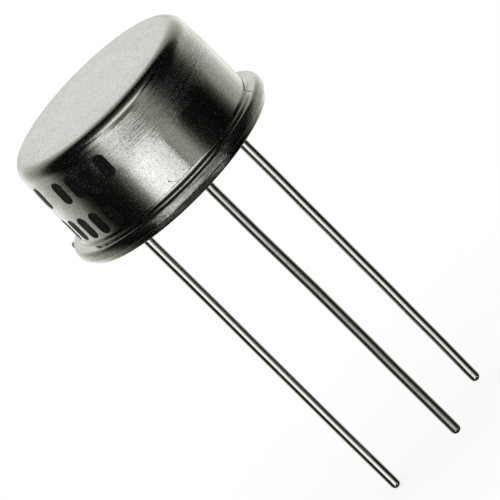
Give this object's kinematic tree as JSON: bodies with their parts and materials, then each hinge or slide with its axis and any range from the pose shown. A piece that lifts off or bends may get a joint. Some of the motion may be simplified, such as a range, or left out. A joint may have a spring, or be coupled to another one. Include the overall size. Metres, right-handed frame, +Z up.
{
  "type": "pnp transistor",
  "caption": "Small-signal pnp transistor in a welded round metal can with a flange, an index tab and long wire leads for soldering into a circuit board.",
  "frame": {"origin": "centre of the seating plane, on the header's underside", "axes": "+Z up the can's axis, away from the leads; -X towards the emitter lead, -Y towards the base lead, +X towards the collector lead"},
  "size_m": [0.0094, 0.0094, 0.0189],
  "materials": {
    "can_nickel": "satin nickel plate with fine handling scratches",
    "header_nickel": "satin nickel plate",
    "seal_glass": "dark green sealing glass, smooth",
    "lead_solder": "bright solder dip with fine draw lines",
    "braze_alloy": "dull alloy, flowed",
    "silicon": "polished silicon",
    "contact_aluminium": "fine-grained metal film",
    "bond_aluminium": "bright drawn wire",
    "black_ink": "matte printed ink"
  },
  "bodies": {
    "root": {"cap": "can_nickel", "header": "header_nickel", "emitter_seal": "seal_glass", "base_seal": "seal_glass", "emitter_lead": "lead_solder", "base_lead": "lead_solder", "collector_lead": "lead_solder", "collector_braze": "braze_alloy", "die_attach": "braze_alloy", "die": "silicon", "emitter_contact": "contact_aluminium", "base_contact": "contact_aluminium", "emitter_wire": "bond_aluminium", "base_wire": "bond_aluminium", "marking_ink": "black_ink"}
  },
  "joints": []
}
